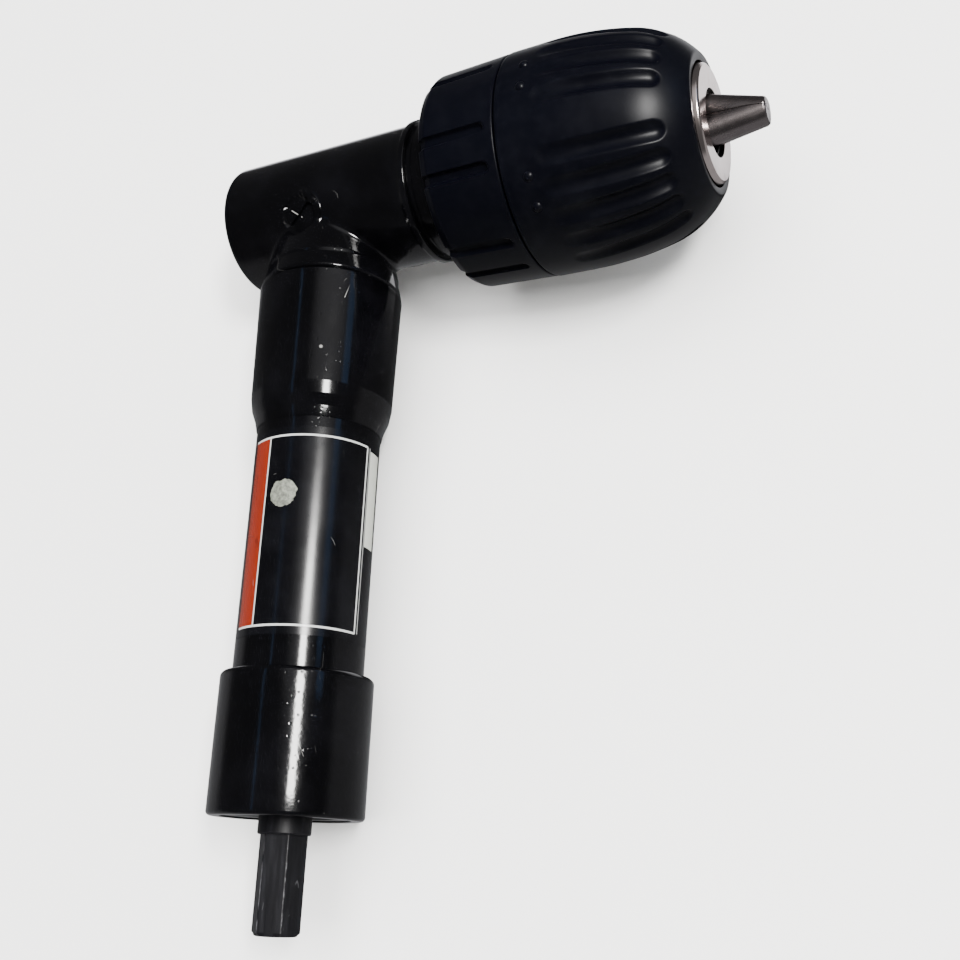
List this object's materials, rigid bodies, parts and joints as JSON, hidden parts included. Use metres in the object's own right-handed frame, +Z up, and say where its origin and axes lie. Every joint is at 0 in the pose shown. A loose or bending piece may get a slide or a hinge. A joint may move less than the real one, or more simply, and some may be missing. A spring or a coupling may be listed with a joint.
{
  "type": "right angle attachment",
  "caption": "Right angle drill attachment: hex shank, long barrel, cast angle head with mitre gears and a keyless three-jaw chuck.",
  "frame": {"origin": "on the table under the middle of the attachment as it lies on its side", "axes": "+Z up from the table; +X roughly along the chuck towards the jaws; -Y roughly along the barrel towards the hex shank"},
  "size_m": [0.1146, 0.1682, 0.047],
  "materials": {
    "black_cast_paint": "gloss black paint over a casting",
    "black_steel_paint": "gloss black paint over steel",
    "black_oxide_steel": "black oxide, matte",
    "sleeve_plastic": "fine matte moulded plastic",
    "label_film": "printed film, satin",
    "bright_nickel": "bright nickel plate",
    "jaw_steel": "satin ground steel",
    "machined_steel": "turned steel",
    "bearing_steel": "ground and polished",
    "sintered_bronze": "oiled sintered bronze",
    "seal_rubber": "nitrile rubber"
  },
  "bodies": {
    "housing": {"head_casting": "black_cast_paint", "rear_plug": "black_oxide_steel", "grease_plug": "black_oxide_steel", "rear_spindle_bush": "sintered_bronze", "front_retainer": "black_steel_paint", "spindle_seal": "seal_rubber", "barrel_tube": "black_steel_paint", "lower_collar": "black_cast_paint", "collar_retaining_clip": "machined_steel", "blank_label": "label_film", "input_shaft_bush": "sintered_bronze", "front_bearing_outer_race": "bearing_steel", "front_bearing_rollers": "bearing_steel", "front_bearing_cage": "bearing_steel", "lower_bearing_outer_race": "bearing_steel", "lower_bearing_rollers": "bearing_steel", "lower_bearing_cage": "bearing_steel", "lower_bearing_shield": "bearing_steel"},
    "drive_shaft": {"input_shaft": "black_oxide_steel", "input_pinion": "machined_steel", "input_pinion_pin": "machined_steel", "lower_bearing_inner_race": "bearing_steel"},
    "chuck": {"output_spindle": "machined_steel", "output_gear": "machined_steel", "output_gear_pin": "machined_steel", "chuck_body": "machined_steel", "chuck_screw": "machined_steel", "nose_ring": "bright_nickel", "rear_sleeve": "sleeve_plastic", "thrust_washer": "bearing_steel", "thrust_rollers": "bearing_steel", "front_bearing_inner_race": "bearing_steel"},
    "grip_sleeve": {"front_sleeve": "sleeve_plastic", "nut_ring": "machined_steel", "nut_half_upper": "machined_steel", "nut_half_lower": "machined_steel"},
    "first_jaw": {"jaw_1": "jaw_steel"},
    "second_jaw": {"jaw_2": "jaw_steel"},
    "third_jaw": {"jaw_3": "jaw_steel"}
  },
  "joints": [
    {"name": "chuck_spin", "type": "hinge", "parent": "housing", "child": "chuck", "pos_m": [0.00444, 0.06202, 0.02218], "axis": [0.9902, 0, 0.1397], "continuous": true},
    {"name": "input_spin", "type": "hinge", "parent": "housing", "child": "drive_shaft", "pos_m": [-0.035, -0.00797, 0.01542], "axis": [-0.0024, 0.9999, 0.0168], "continuous": true},
    {"name": "sleeve_turn", "type": "hinge", "parent": "chuck", "child": "grip_sleeve", "pos_m": [0.02821, 0.06202, 0.02553], "axis": [0.9902, 0, 0.1397], "range_deg": [0, 4770]},
    {"name": "first_jaw_slide", "type": "slide", "parent": "chuck", "child": "first_jaw", "axis": [-0.9706, -0.2401, -0.0185], "range_m": [0, 0.0187]},
    {"name": "second_jaw_slide", "type": "slide", "parent": "chuck", "child": "second_jaw", "axis": [-0.9169, 0.0185, -0.3986], "range_m": [0, 0.0187]},
    {"name": "third_jaw_slide", "type": "slide", "parent": "chuck", "child": "third_jaw", "axis": [-0.975, 0.2216, 0.0133], "range_m": [0, 0.0187]}
  ],
  "couplings": [
    {"joint": "input_spin", "follows": "chuck_spin", "ratio": 1},
    {"joint": "first_jaw_slide", "follows": "sleeve_turn", "m_per_rad": 0.00022457},
    {"joint": "second_jaw_slide", "follows": "sleeve_turn", "m_per_rad": 0.00022457},
    {"joint": "third_jaw_slide", "follows": "sleeve_turn", "m_per_rad": 0.00022457}
  ]
}
